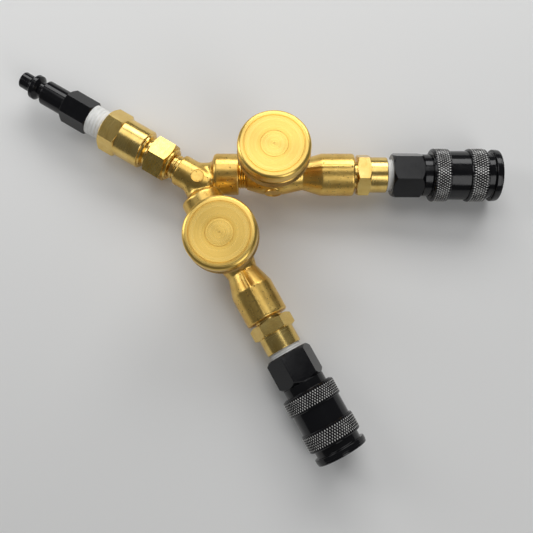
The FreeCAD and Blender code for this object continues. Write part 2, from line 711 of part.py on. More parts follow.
def outlet_adapter():
    thread_x = valve_end - ADAPTER_THREAD_L
    relief_r = VALVE_SOCKET_R - ADAPTER_RELIEF
    adapter = turned([
        (thread_x, 0), (thread_x, VALVE_SOCKET_R), (valve_end, VALVE_SOCKET_R),
        (valve_end, relief_r), (adapter_hex_x, relief_r), (adapter_hex_x, ADAPTER_BARREL_R),
        (adapter_end, ADAPTER_BARREL_R, EDGE_ROUND), (adapter_end, 0),
    ])
    adapter = adapter.fuse(hexagon_bar(adapter_hex_x, adapter_barrel_x, ADAPTER_HEX_AF))
    adapter = adapter.cut(rod(valve_socket_floor, adapter_end, PASSAGE_R))
    return adapter.cut(pipe_stub(tail_hex_x, -1).fuse(outlet_tape()))


# Coupler pieces

def coupler_tail(roll):
    tail = hexagon_bar(tail_hex_x, tail_hex_end, TAIL_HEX_AF, roll).fuse(pipe_stub(tail_hex_x, -1))
    tail = tail.cut(rod(tail_hex_x - PIPE_THREAD_L, tail_hex_end, PASSAGE_R))
    return tail.cut(rod(tail_socket_floor, tail_hex_end, BARREL_THREAD_R))


def coupler_barrel():
    ring_x = mouth_shoulder_x + SEAT_CLEARANCE
    groove_r = barrel_r - RETAINER_GROOVE_DEPTH
    guide_x = lock_ball_x + lock_hole_r + SOCKET_LAND
    barrel = turned([
        (tail_socket_floor, chamber_r), (tail_socket_floor, BARREL_THREAD_R),
        (tail_hex_end, BARREL_THREAD_R), (tail_hex_end, barrel_neck_r),
        (barrel_shoulder_x, barrel_neck_r), (barrel_shoulder_x, barrel_r),
        (ring_x, barrel_r), (ring_x, groove_r), (ring_x + RETAINER_W, groove_r),
        (ring_x + RETAINER_W, barrel_r), (barrel_end, barrel_r, EDGE_ROUND),
        (barrel_end, guide_r + SOCKET_LEAD), (barrel_end - SOCKET_LEAD, guide_r),
        (guide_x, guide_r), (guide_x, socket_r),
        (seal_far, socket_r), (seal_far, seal_r), (seal_near, seal_r), (seal_near, chamber_r),
    ])
    for i in range(LOCK_BALL_COUNT):
        hole = ball_hole()
        hole.rotate(Vector(0, 0, 0), Vector(1, 0, 0), ball_angle(i))
        barrel = barrel.cut(hole)
    return barrel


def ball_angle(i):
    return 360.0 / LOCK_BALL_COUNT * (i + 0.5)


def ball_hole():
    """Radial hole for a locking ball, with the small lip that keeps the ball out of the socket."""
    lip_r = lock_hole_r - LOCK_HOLE_LIP
    hole = stood([
        (socket_r - OVERRUN, 0), (socket_r - OVERRUN, lip_r), (socket_r, lip_r),
        (socket_r + LOCK_HOLE_LIP, lock_hole_r), (barrel_r + OVERRUN, lock_hole_r), (barrel_r + OVERRUN, 0),
    ])
    hole.translate(Vector(lock_ball_x, 0, 0))
    return hole


def locking_ball(i):
    ball = Part.makeSphere(lock_ball_r, Vector(lock_ball_x, 0, lock_ball_centre))
    ball.rotate(Vector(0, 0, 0), Vector(1, 0, 0), ball_angle(i))
    return ball


def coupler_sleeve():
    ramp_x0 = lock_ball_x - (sleeve_over_ball - sleeve_ridge_r) / sleeve_slope
    ramp_x1 = lock_ball_x + SLEEVE_TRAVEL
    return turned([
        (sleeve_start, sleeve_bore_r), (sleeve_start, sleeve_middle_r), (band_1_x, sleeve_middle_r),
        (band_1_x, sleeve_band_r, EDGE_ROUND), (middle_x, sleeve_band_r, EDGE_ROUND),
        (middle_x, sleeve_middle_r), (band_2_x, sleeve_middle_r),
        (band_2_x, sleeve_band_r, EDGE_ROUND), (sleeve_neck_x, sleeve_band_r, EDGE_ROUND),
        (sleeve_neck_x, sleeve_neck_r, EDGE_ROUND), (flange_x, sleeve_neck_r, EDGE_ROUND),
        (flange_x, sleeve_flange_r, EDGE_ROUND), (sleeve_end, sleeve_flange_r, SLEEVE_FLANGE_ROUND),
        (sleeve_end, sleeve_mouth_r), (mouth_shoulder_x, sleeve_mouth_r), (mouth_shoulder_x, sleeve_relief_r),
        (ramp_x1, sleeve_relief_r), (ramp_x0, sleeve_ridge_r), (sleeve_seat_x, sleeve_ridge_r),
        (sleeve_seat_x, sleeve_bore_r),
    ])


def retaining_ring():
    """Open snap ring in the barrel's groove, which stops the sleeve."""
    ring_x = mouth_shoulder_x + SEAT_CLEARANCE
    groove_r = barrel_r - RETAINER_GROOVE_DEPTH
    ring = turned([
        (ring_x, groove_r), (ring_x, retainer_r, EDGE_ROUND),
        (ring_x + RETAINER_W, retainer_r, EDGE_ROUND), (ring_x + RETAINER_W, groove_r),
    ])
    corner = Vector(ring_x - OVERRUN, -RETAINER_GAP / 2.0, 0)
    gap = Part.makeBox(RETAINER_W + 2 * OVERRUN, RETAINER_GAP, retainer_r + OVERRUN, corner)
    return ring.cut(gap)


def seal_ring():
    return turned([
        (seal_near, seal_bore_r, EDGE_ROUND), (seal_near, seal_r),
        (seal_far, seal_r), (seal_far, seal_bore_r, EDGE_ROUND),
    ])


def poppet():
    head_far = seal_near - SEAT_CLEARANCE
    head_near = head_far - POPPET_HEAD_L
    head_r = chamber_r - POPPET_HEAD_GAP
    boss_r = seal_bore_r - POPPET_BOSS_GAP
    body = turned([
        (head_near - POPPET_STEM_L, 0), (head_near - POPPET_STEM_L, POPPET_STEM_R, EDGE_ROUND),
        (head_near, POPPET_STEM_R), (head_near, head_r), (head_far, head_r, EDGE_ROUND),
        (head_far, boss_r), (head_far + POPPET_BOSS_L, boss_r, EDGE_ROUND),
        (head_far + POPPET_BOSS_L, 0),
    ])
    slot_floor = head_far + POPPET_BOSS_L - POPPET_SLOT_DEPTH
    half = boss_r + OVERRUN
    corner = Vector(slot_floor, -POPPET_SLOT_W / 2.0, -half)
    slot = Part.makeBox(POPPET_SLOT_DEPTH + OVERRUN, POPPET_SLOT_W, 2 * half, corner)
    return body.cut(slot)


def poppet_spring():
    far = seal_near - SEAT_CLEARANCE - POPPET_HEAD_L
    return coil_spring(tail_socket_floor, far, POPPET_SPRING_R, POPPET_WIRE_R, POPPET_SPRING_TURNS)


def sleeve_spring():
    mean_r = barrel_neck_r - SLEEVE_WIRE_R
    return coil_spring(barrel_shoulder_x, sleeve_seat_x, mean_r, SLEEVE_WIRE_R, SLEEVE_SPRING_TURNS)


def place_on_inlet(shape):
    shape.rotate(Vector(0, 0, 0), Vector(0, 0, 1), 180)
    shape.translate(HUB)
    return shape


def place_on_outlet(shape, side):
    shape.rotate(Vector(0, 0, 0), Vector(1, 0, 0), -side * STEM_SPLAY)
    shape.rotate(Vector(0, 0, 0), Vector(0, 0, 1), side * OUTLET_ANGLE)
    shape.translate(HUB)
    return shape


INLET_PIECES = {
    "inlet_plug": inlet_plug,
    "inlet_thread_tape": inlet_tape,
    "inlet_adapter": inlet_adapter,
    "inlet_union_nut": inlet_nut,
    "inlet_nipple": nipple,
}

OUTLET_PIECES = {
    "valve_ball": valve_ball,
    "valve_stem": valve_stem,
    "gland_washer": gland_washer,
    "stem_packing": stem_packing,
    "packing_nut": packing_nut,
    "knob": knob,
    "outlet_adapter": outlet_adapter,
    "outlet_thread_tape": outlet_tape,
    "coupler_barrel": coupler_barrel,
    "coupler_sleeve": coupler_sleeve,
    "sleeve_spring": sleeve_spring,
    "retaining_ring": retaining_ring,
    "seal_ring": seal_ring,
    "poppet": poppet,
    "poppet_spring": poppet_spring,
}


def build():
    shapes = {"y_body": y_body()}
    for name, make in INLET_PIECES.items():
        shapes[name] = place_on_inlet(make())
    for letter, side in (("a", 1), ("b", -1)):
        for name, make in OUTLET_PIECES.items():
            shapes[name + "_" + letter] = place_on_outlet(make(), side)
        shapes["valve_body_" + letter] = place_on_outlet(valve_body(SEAM_ROLL[letter]), side)
        shapes["coupler_tail_" + letter] = place_on_outlet(coupler_tail(TAIL_ROLL[letter]), side)
        for i in range(LOCK_BALL_COUNT):
            shapes["locking_ball_%s%d" % (letter, i + 1)] = place_on_outlet(locking_ball(i), side)
    return shapes


os.makedirs("parts", exist_ok=True)
for node, shape in build().items():
    shape.exportStep("parts/" + node + ".step")
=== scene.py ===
from math import atan2, cos, pi, radians, sin, tan

import bpy
from mathutils import Matrix, Vector


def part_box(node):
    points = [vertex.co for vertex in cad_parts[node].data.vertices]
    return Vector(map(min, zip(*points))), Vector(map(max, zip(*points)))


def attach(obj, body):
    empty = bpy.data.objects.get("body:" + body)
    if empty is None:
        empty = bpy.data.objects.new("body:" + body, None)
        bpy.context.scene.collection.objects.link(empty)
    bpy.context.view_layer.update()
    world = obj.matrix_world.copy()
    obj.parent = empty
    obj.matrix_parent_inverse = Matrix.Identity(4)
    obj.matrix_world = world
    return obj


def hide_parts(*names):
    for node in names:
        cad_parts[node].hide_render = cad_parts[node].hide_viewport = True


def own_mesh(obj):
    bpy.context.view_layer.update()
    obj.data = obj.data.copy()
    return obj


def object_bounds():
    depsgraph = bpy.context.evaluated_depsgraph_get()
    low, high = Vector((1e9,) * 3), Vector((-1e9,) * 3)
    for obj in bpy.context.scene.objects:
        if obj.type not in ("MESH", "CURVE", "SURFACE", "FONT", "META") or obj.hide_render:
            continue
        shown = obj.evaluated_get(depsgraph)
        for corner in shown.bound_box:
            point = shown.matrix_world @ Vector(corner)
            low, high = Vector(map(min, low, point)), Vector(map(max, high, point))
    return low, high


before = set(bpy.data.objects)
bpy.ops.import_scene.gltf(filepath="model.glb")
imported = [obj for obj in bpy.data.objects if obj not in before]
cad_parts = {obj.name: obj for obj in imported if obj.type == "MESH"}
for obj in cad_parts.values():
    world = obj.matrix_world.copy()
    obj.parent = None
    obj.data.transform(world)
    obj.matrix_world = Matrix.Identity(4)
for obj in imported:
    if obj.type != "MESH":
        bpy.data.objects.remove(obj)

cad_box = [list(corner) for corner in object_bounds()]

# Sizes are in millimetres along each arm, outward from the hub, and MM makes them metres
MM = 0.001
FULL_TURN = 2 * pi
OUTLET_ANGLE = radians(30.5)
STEM_SPLAY = radians(4.0)

# Inlet arm, from the hub to the tip of the plug
BOSS_REACH = 4.5
NUT_NEAR = 8.2
NUT_HEX_NEAR = 9.7
NUT_FAR = 19.5
NUT_FLATS = 17.46
NUT_ROLL = 19
ADAPTER_NEAR = 22.2
ADAPTER_R = 9.4
ADAPTER_HEX_NEAR = 35.3
ADAPTER_HEX_FAR = 44.3
ADAPTER_FLATS = 18.3
ADAPTER_ROLL = -11
HOSE_THREAD_R = 7.15
PLUG_HEX_NEAR = 52.7
PLUG_HEX_FAR = 66.7
PLUG_FLATS = 14.29
PLUG_ROLL = -13
PLUG_R = 5.95
PLUG_NECK_R = 4.0
PLUG_NOSE_R = 3.95
PLUG_BORE_R = 2.6
PLUG_COLLAR_FAR = 78.8
PLUG_TIP = 92.0
TAPE_R = 7.25
TAPE_WOUND_R = 6.99
NIPPLE_R = 6.0
NIPPLE_GROOVE_R = 5.45

# Y body
BOSS_R = 7.4
ARM_NECK_R = 5.4
COLLAR_NEAR = 11.9
COLLAR_REACH = 23.7
COLLAR_R = 9.55
COIN_X = 6.0
COIN_R = 3.1
COIN_TOP = 7.55

# Outlet arms, from the collar to the end of the coupler
VALVE_NEAR = 27.4
STEM_X = 39.6
VALVE_NECK_R = 7.15
VALVE_BULGE_R = 9.25
VALVE_BULGE_NEAR = 34.8
VALVE_BULGE_FAR = 44.4
VALVE_BULGE_ROUND = 9.0
VALVE_NECK = 53.3
VALVE_BARREL = 62.0
VALVE_BARREL_R = 9.8
VALVE_FAR = 77.0
VALVE_THREAD_R = 6.7
BONNET_R = 7.9
BONNET_TOP = 11.2
BONNET_NECK_R = 5.6
BONNET_NECK_TOP = 15.6
MEDAL_R = 4.0
MEDAL_FACE = 9.55
SEAM_HALF = 0.55
SEAM_H = 0.3
SEAM_ROOT = 1.0
SEAM_ROLL = {"a": radians(5.0), "b": radians(9.0)}
OUTLET_HEX_NEAR = 78.2
OUTLET_HEX_FAR = 84.4
OUTLET_FLATS = 17.46
OUTLET_BARREL_R = 8.2
OUTLET_FAR = 92.3
TAIL_NEAR = 94.6
TAIL_FAR = 108.9
TAIL_FLATS = 19.05
TAIL_ROLL = {"a": 0, "b": -12}

# Packing nut and knob, up the stem from the arm's axis
PACKING_NUT_FLATS = 15.88
PACKING_NUT_BOTTOM = 11.5
PACKING_NUT_HEX_TOP = 18.5
PACKING_NUT_TOP = 20.1
PACKING_NUT_TOP_R = 6.2
KNOB_BOTTOM = 23.6
KNOB_TOP = 34.6
KNOB_R = 15.9
KNOB_BAND_TOP = 28.2
KNOB_STEP_R = 15.0
KNOB_STEP_TOP = 29.3
KNOB_BEAD_R = 15.7
KNOB_BEAD_ROUND = 1.5
KNOB_GROOVE_R = 12.9
KNOB_CENTRE_R = 5.9
KNOB_RECESS_R = 12.6
KNOB_RECESS_TOP = 26.8
KNOB_HUB_R = 6.0
# The knurl band outside this radius gets a painted shade
KNOB_PAINTED_SHADE_R = 15.4
KNURL_DEPTH = 0.28

# Coupler barrel and sleeve
BARREL_FAR = 143.2
BARREL_R = 8.6
BARREL_NECK_R = 9.65
BARREL_SHOULDER = 118.0
SOCKET_R = 6.0
GUIDE_R = 6.2
GUIDE_NEAR = 137.25
SEAL_NEAR = 125.5
SEAL_FAR = 128.6
SEAL_R = 6.6
CHAMBER_R = 5.6
SLEEVE_NEAR = 112.6
SLEEVE_FAR = 144.0
SLEEVE_BORE_R = 9.7
SLEEVE_R = 11.3
SLEEVE_BAND_R = 12.4
SLEEVE_BANDS = ((113.0, 120.5), (129.5, 137.6))
SLEEVE_NECK_R = 10.45
SLEEVE_RELIEF_R = 9.35
SLEEVE_RIDGE_R = 8.65
FLANGE_NEAR = 140.8
FLANGE_R = 11.95
MOUTH_NEAR = 141.2
MOUTH_R = 10.3
RELIEF_NEAR = 138.7
RIDGE_FAR = 134.7
RIDGE_NEAR = 130.0

# Edges. A slope is the run along the arm for each millimetre outward. LEAST_FLAT is in square
# metres, the merge gaps are in metres, and the two sharp angles are in degrees
EDGE_WEAR = 0.14
BLACK_WEAR = 0.3
CHAMFER_SLOPE = 0.58
TAIL_SLOPE = 1.0
FLAT_INSET = 0.1
HEXAGON_STEPS = 144
WORN_ANGLE = radians(24)
LEAST_FLAT = 3.0 * MM * MM
TAPE_SHARP = 60
FORGED_SHARP = 50
MERGE_GAP = 2e-6
COIL_MERGE_GAP = 1e-6

# Forgings: the size of the cells they are melted in, and how far from the hub they are evened out
HUB_VOXEL = 0.24
VALVE_VOXEL = 0.26
HUB_REACH = 14.0
ARM_REACH = 21.5

# Threads and tape. Each point of a tape ridge is a share of the pitch and a depth below the crest
CREST_START = 0.35
CREST_END = 0.6
PIPE_THREAD_PITCH = 1.41
TAPE_RIDGE = ((0.25, 0.02), (0.45, 0.17), (0.75, 0.17), (0.95, 0.02))
TAPE_DEPTH = 0.5
TAPE_CREASE = 0.035

HUB = Vector((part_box("y_body")[0][0] + BOSS_REACH * MM, 0.0, 0.0))
HUB_PLACE = Matrix.Translation(HUB)
INLET_PLACE = HUB_PLACE @ Matrix.Rotation(pi, 4, "Z")
UPRIGHT = Matrix.Translation((STEM_X * MM, 0.0, 0.0)) @ Matrix.Rotation(-pi / 2, 4, "Y")


def outlet_place(side):
    swing = Matrix.Rotation(side * OUTLET_ANGLE, 4, "Z")
    splay = Matrix.Rotation(-side * STEM_SPLAY, 4, "X")
    return HUB_PLACE @ swing @ splay


OUTLETS = {"a": outlet_place(1), "b": outlet_place(-1)}


# Workshop: the ways in which the pieces are made

def only(piece):
    """Selects one piece and makes it the active one."""
    bpy.ops.object.select_all(action="DESELECT")
    piece.select_set(True)
    bpy.context.view_layer.objects.active = piece


def named(name):
    piece = bpy.context.object
    piece.name = name
    piece.data.name = name
    return piece


def rounded(outline, cuts=4):
    """Outline points, with each (x, radius, round) corner turned into an arc."""
    points = []
    for i, corner in enumerate(outline):
        here = Vector(corner[:2])
        if len(corner) == 2:
            points.append(here)
            continue
        back = (Vector(outline[i - 1][:2]) - here).normalized()
        ahead = (Vector(outline[i + 1][:2]) - here).normalized()
        half = back.angle(ahead) / 2
        reach = corner[2] / tan(half)
        centre = here + (back + ahead).normalized() * (corner[2] / sin(half))
        first = here + back * reach - centre
        last = here + ahead * reach - centre
        for k in range(cuts + 1):
            points.append(centre + first.slerp(last, k / cuts) * corner[2])
    return points


def turned(name, outline, steps=96, sweep=FULL_TURN):
    """Piece turned about the x axis: one point drawn along the outline, then spun."""
    points = rounded(outline)
    bpy.ops.object.select_all(action="DESELECT")
    bpy.ops.mesh.primitive_plane_add(size=MM, location=(0, 0, 0))
    piece = named(name)
    bpy.ops.object.mode_set(mode="EDIT")
    bpy.ops.mesh.select_all(action="SELECT")
    bpy.ops.mesh.merge(type="CENTER")
    bpy.ops.transform.translate(value=(points[0][0] * MM, 0, points[0][1] * MM))
    for before, after in zip(points, points[1:]):
        step = (after - before) * MM
        bpy.ops.mesh.extrude_vertices_move(TRANSFORM_OT_translate={"value": (step[0], 0, step[1])})
    bpy.ops.mesh.select_all(action="SELECT")
    closed = sweep == FULL_TURN
    bpy.ops.mesh.spin(steps=steps, angle=sweep, center=(0, 0, 0), axis=(1, 0, 0), use_auto_merge=closed)
    bpy.ops.mesh.select_all(action="SELECT")
    bpy.ops.mesh.remove_doubles(threshold=MERGE_GAP)
    bpy.ops.mesh.normals_make_consistent(inside=False)
    bpy.ops.object.mode_set(mode="OBJECT")
    return piece


def applied(piece, kind, **settings):
    """Adds one modifier with its settings and applies it."""
    only(piece)
    modifier = piece.modifiers.new(kind.lower(), kind)
    for key, value in settings.items():
        setattr(modifier, key, value)
    bpy.ops.object.modifier_apply(modifier=modifier.name)


def cut_to(piece, tool, operation):
    applied(piece, "BOOLEAN", operation=operation, object=tool, solver="EXACT")
    bpy.data.objects.remove(tool)


def hexagon(name, near, far, flats, roll=0.0, bore=0.0, wear=EDGE_WEAR, slope=CHAMFER_SLOPE):
    """Hexagon along x with its corners turned off at both ends and its edges worn."""
    corner = flats / 2 / cos(pi / 6)
    face = flats / 2 - FLAT_INSET
    clear = corner + 1
    chamfer = (corner - face) * slope
    bpy.ops.object.select_all(action="DESELECT")
    bpy.ops.mesh.primitive_cylinder_add(
        vertices=6, radius=corner * MM, depth=(far - near) * MM,
        location=((near + far) / 2 * MM, 0, 0), rotation=(0, pi / 2, 0))
    piece = named(name)
    bpy.ops.object.transform_apply(location=True, rotation=True, scale=True)
    outline = [
        (near, bore), (near, face), (near + chamfer, corner), (near + chamfer, clear),
        (far - chamfer, clear), (far - chamfer, corner), (far, face), (far, bore)]
    if bore:
        outline.append((near, bore))
    cut_to(piece, turned("hexagon_lathe_cut", outline, HEXAGON_STEPS), "INTERSECT")
    turned_to(piece, Matrix.Rotation(radians(roll), 4, "X"))
    applied(piece, "BEVEL", width=wear * MM, segments=2, limit_method="ANGLE", angle_limit=WORN_ANGLE)
    crisp_flats(piece)
    return piece


def crisp_flats(piece):
    """Marks the border of each large flat sharp, so that it mirrors as one plane."""
    only(piece)
    bpy.ops.object.mode_set(mode="EDIT")
    bpy.ops.mesh.select_mode(type="FACE")
    bpy.ops.mesh.select_all(action="DESELECT")
    bpy.ops.object.mode_set(mode="OBJECT")
    for face in piece.data.polygons:
        face.select = face.area > LEAST_FLAT
    bpy.ops.object.mode_set(mode="EDIT")
    bpy.ops.mesh.region_to_loop()
    bpy.ops.mesh.mark_sharp()
    bpy.ops.mesh.select_mode(type="VERT")
    bpy.ops.object.mode_set(mode="OBJECT")


def joined(name, pieces):
    only(pieces[0])
    for piece in pieces:
        piece.select_set(True)
    bpy.ops.object.join()
    return named(name)


def turned_to(piece, place):
    """Moves a piece's mesh to a place while its object stays at the origin."""
    piece.matrix_world = place
    only(piece)
    bpy.ops.object.transform_apply(location=True, rotation=True, scale=True)
    return piece


def pick(piece, wanted):
    """Goes into edit mode with only the wanted vertices selected."""
    only(piece)
    bpy.ops.object.mode_set(mode="EDIT")
    bpy.ops.mesh.select_mode(type="VERT")
    bpy.ops.mesh.select_all(action="DESELECT")
    bpy.ops.object.mode_set(mode="OBJECT")
    for vertex in piece.data.vertices:
        vertex.select = wanted(vertex.co)
    bpy.ops.object.mode_set(mode="EDIT")


def softened(piece, rounds, wanted):
    """Evens out the skin where a place is wanted."""
    pick(piece, wanted)
    bpy.ops.mesh.vertices_smooth(factor=0.5, repeat=rounds)
    bpy.ops.object.mode_set(mode="OBJECT")


def melted(piece, voxel):
    """Melts overlapping forms into one skin."""
    only(piece)
    piece.data.remesh_voxel_size = voxel * MM
    piece.data.use_remesh_fix_poles = False
    bpy.ops.object.voxel_remesh()


def knurled(piece, near, far, rows, steps, lift):
    """Presses a diamond knurl into the rows of points between near and far and marks its crests."""
    pitch = (far - near) / rows
    core = 11 * MM

    def crest(place):
        row = (place.x / MM - near) / pitch
        if row < 0.5 or row > rows - 0.5 or place.yz.length < core:
            return False
        column = round(atan2(place.y, place.z) / FULL_TURN * steps)
        return (round(row) + column) % 2 == 0

    pick(piece, crest)
    bpy.ops.transform.resize(value=(1, lift, lift), center_override=(0, 0, 0))
    bpy.ops.object.mode_set(mode="OBJECT")
    marks = piece.data.attributes.get("crest") or piece.data.attributes.new("crest", "FLOAT", "POINT")
    for vertex in piece.data.vertices:
        if vertex.select:
            marks.data[vertex.index].value = 1.0
    pick(piece, lambda place: near - 0.01 < place.x / MM < far + 0.01 and place.yz.length > core)
    bpy.ops.mesh.quads_convert_to_tris(quad_method="SHORTEST_DIAGONAL")
    bpy.ops.object.mode_set(mode="OBJECT")


def rows_of(near, far, radius, rows):
    return [(near + (far - near) * i / rows, radius) for i in range(rows + 1)]


def crests(near, far, radius, pitch, depth):
    """Outline of the thread crests between near and far."""
    points = []
    for i in range(int((far - near) / pitch)):
        left = near + i * pitch
        crest_near = left + pitch * CREST_START
        crest_far = left + pitch * CREST_END
        points += [(left, radius - depth), (crest_near, radius), (crest_far, radius)]
    points.append((far, radius - depth))
    return points


def settled(piece, name, place, body, finish, nodes=(), sharp=32):
    """Keeps the piece's own turning coordinates for its finish, then sets it in its place."""
    only(piece)
    named(name)
    bpy.ops.object.shade_smooth_by_angle(angle=radians(sharp))
    applied(piece, "WEIGHTED_NORMAL", keep_sharp=True)
    turn = place.to_3x3()
    places = []
    ways = []
    for vertex in piece.data.vertices:
        places += list(vertex.co)
        ways += list(turn @ Vector((0, -vertex.co.z, vertex.co.y)).normalized())
    for mark, values in (("turning_place", places), ("turning_way", ways)):
        piece.data.attributes.new(mark, "FLOAT_VECTOR", "POINT").data.foreach_set("vector", values)
    turned_to(piece, place)
    piece.data.materials.clear()
    piece.data.materials.append(finish)
    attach(piece, body)
    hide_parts(*nodes)
    return piece


# Finishes

NOISE_LOW = 0.3
NOISE_HIGH = 0.7


class Finish:
    """A material and short ways to add the nodes of its surface."""

    def __init__(self, name, colour, metal, roughness):
        self.material = bpy.data.materials.new(name)
        self.material.use_nodes = True
        self.tree = self.material.node_tree
        self.shader = self.tree.nodes["Principled BSDF"]
        self.shader.inputs["Base Color"].default_value = (*colour, 1)
        self.shader.inputs["Metallic"].default_value = metal
        self.shader.inputs["Roughness"].default_value = roughness
        self.bump = None

    def feed(self, socket, value):
        """Links a socket, or sets it to a number or colour."""
        if isinstance(value, bpy.types.NodeSocket):
            self.tree.links.new(value, socket)
        elif isinstance(value, tuple) and socket.type == "RGBA":
            socket.default_value = (*value, 1)
        else:
            socket.default_value = value

    def node(self, kind, settings=(), **inputs):
        node = self.tree.nodes.new("ShaderNode" + kind)
        for key, value in dict(settings).items():
            setattr(node, key, value)
        for key, value in inputs.items():
            self.feed(node.inputs[key.replace("_", " ")], value)
        return node

    def math(self, operation, first, second=0.0):
        node = self.node("Math", {"operation": operation})
        self.feed(node.inputs[0], first)
        self.feed(node.inputs[1], second)
        return node.outputs[0]

    def own_place(self):
        return self.node("Attribute", {"attribute_name": "turning_place"}).outputs["Vector"]

    def object_place(self):
        return self.node("TexCoord").outputs["Object"]

    def mark(self, name):
        return self.node("Attribute", {"attribute_name": name}).outputs["Fac"]

    def rings(self, scale, detail=3.0):
        """Turning marks: one value for each ring, along a barrel and across a face alike."""
        split = self.node("SeparateXYZ", Vector=self.own_place())
        y_part = self.math("MULTIPLY", split.outputs["Y"], split.outputs["Y"])
        z_part = self.math("MULTIPLY", split.outputs["Z"], split.outputs["Z"])
        radius = self.math("SQRT", self.math("ADD", y_part, z_part))
        along = self.math("MULTIPLY", split.outputs["X"], 1.37)
        noise = self.node("TexNoise", {"noise_dimensions": "1D"}, W=self.math("ADD", radius, along),
                          Scale=scale, Detail=detail, Roughness=0.7)
        return noise.outputs["Fac"]

    def grain(self, place, scale, detail=4.0, roughness=0.6, stretch=(1, 1, 1)):
        mapping = self.node("Mapping", Vector=place, Scale=stretch)
        noise = self.node("TexNoise", Vector=mapping.outputs[0], Scale=scale, Detail=detail,
                          Roughness=roughness)
        return noise.outputs["Fac"]

    def pits(self, place, scale, size, share):
        """Small round pits, one in each cell of a share of the cells."""
        cells = self.node("TexVoronoi", Vector=place, Scale=scale, Randomness=1.0)
        near = self.spread(cells.outputs["Distance"], size * 0.6, size, 1.0, 0.0)
        cell = self.node("SeparateXYZ", Vector=cells.outputs["Color"])
        chosen = self.math("LESS_THAN", cell.outputs["X"], share)
        return self.math("MULTIPLY", near, chosen)

    def spread(self, value, low, high, to_low, to_high):
        node = self.node("MapRange", Value=value, From_Min=low, From_Max=high, To_Min=to_low,
                         To_Max=to_high)
        return node.outputs["Result"]

    def between(self, noise, low, high):
        """Spreads a noise over a range, from its usual lows to its usual highs."""
        return self.spread(noise, NOISE_LOW, NOISE_HIGH, low, high)

    def blend(self, share, first, second):
        """Colour between two colours or two colour sockets."""
        node = self.node("Mix", {"data_type": "RGBA"})
        self.feed(node.inputs[0], share)
        self.feed(node.inputs[6], first)
        self.feed(node.inputs[7], second)
        return node.outputs[2]

    def relief(self, height, distance, strength=1.0):
        """Adds a bump layer, with its height in millimetres."""
        node = self.node("Bump", Strength=strength, Distance=distance * MM, Height=height)
        if self.bump:
            self.tree.links.new(self.bump, node.inputs["Normal"])
        self.bump = node.outputs[0]
        self.set("Normal", self.bump)

    def brushed_round(self, amount):
        """Draws the gloss out across the marks that a lathe leaves round the piece."""
        way = self.node("Attribute", {"attribute_name": "turning_way"}).outputs["Vector"]
        turn = self.node("VectorTransform", {"vector_type": "VECTOR", "convert_from": "OBJECT",
                                             "convert_to": "WORLD"}, Vector=way)
        self.shader.inputs["Anisotropic"].default_value = amount
        self.shader.inputs["Anisotropic Rotation"].default_value = 0.25
        self.set("Tangent", turn.outputs[0])

    def set(self, socket, value):
        self.tree.links.new(value, self.shader.inputs[socket])


def forged_brass():
    """As-forged skin: satin, a little uneven, with small dark pits and brown shade."""
    look = Finish("forged_brass", (0.82, 0.52, 0.14), 1.0, 0.32)
    place = look.own_place()
    cloud = look.grain(place, 150, 3)
    fine = look.grain(place, 900, 5)
    pits = look.math("MAXIMUM", look.pits(place, 420, 0.17, 0.36), look.pits(place, 900, 0.24, 0.22))
    tone = look.blend(look.spread(cloud, 0.32, 0.68, 0.0, 1.0), (0.74, 0.46, 0.11), (0.90, 0.62, 0.18))
    tone = look.blend(look.math("MULTIPLY", pits, 0.85), tone, (0.12, 0.06, 0.02))
    look.set("Base Color", tone)
    look.set("Roughness", look.between(fine, 0.25, 0.40))
    look.relief(fine, 0.05, 0.55)
    look.relief(look.math("SUBTRACT", 1.0, pits), 0.12, 0.6)
    return look.material


def turned_brass():
    """Bright turned bar stock with faint tool marks."""
    look = Finish("turned_brass", (0.86, 0.62, 0.19), 1.0, 0.22)
    place = look.own_place()
    rings = look.rings(2600)
    cloud = look.grain(place, 210, 3)
    tone = look.blend(look.between(cloud, 0.0, 1.0), (0.78, 0.52, 0.14), (0.92, 0.68, 0.24))
    look.set("Base Color", tone)
    look.set("Roughness", look.between(rings, 0.18, 0.28))
    look.relief(rings, 0.004, 0.5)
    look.relief(look.grain(place, 1500, 3), 0.01, 0.5)
    return look.material


def sawn_brass():
    """Bar stock with the dark marks of the saw and brush across its flats."""
    look = Finish("sawn_brass", (0.84, 0.58, 0.17), 1.0, 0.26)
    place = look.own_place()
    strokes = look.grain(place, 700, 4, 0.6, (7.0, 0.5, 0.5))
    cloud = look.grain(place, 260, 4)
    tone = look.blend(look.spread(cloud, 0.35, 0.65, 0.0, 1.0), (0.74, 0.48, 0.11), (0.90, 0.64, 0.19))
    tone = look.blend(look.spread(strokes, 0.50, 0.72, 0.0, 0.5), tone, (0.48, 0.29, 0.07))
    look.set("Base Color", tone)
    look.set("Roughness", look.between(strokes, 0.20, 0.40))
    look.relief(strokes, 0.015, 0.6)
    return look.material


def knob_brass():
    """Turned face with concentric marks; the knurled rim is painted browner as painted shade."""
    look = Finish("knob_brass", (0.90, 0.60, 0.16), 1.0, 0.26)
    rings = look.rings(1900, 4)
    broad = look.rings(420, 2)
    tone = look.blend(look.between(broad, 0.0, 1.0), (0.87, 0.57, 0.13), (0.93, 0.64, 0.18))
    # Painted shade: the knurled rim under the bead is painted dark brown
    tone = look.blend(look.mark("rim"), tone, (0.46, 0.28, 0.09))
    look.set("Base Color", tone)
    look.set("Roughness", look.between(rings, 0.24, 0.36))
    look.relief(rings, 0.01, 0.6)
    look.brushed_round(0.65)
    return look.material


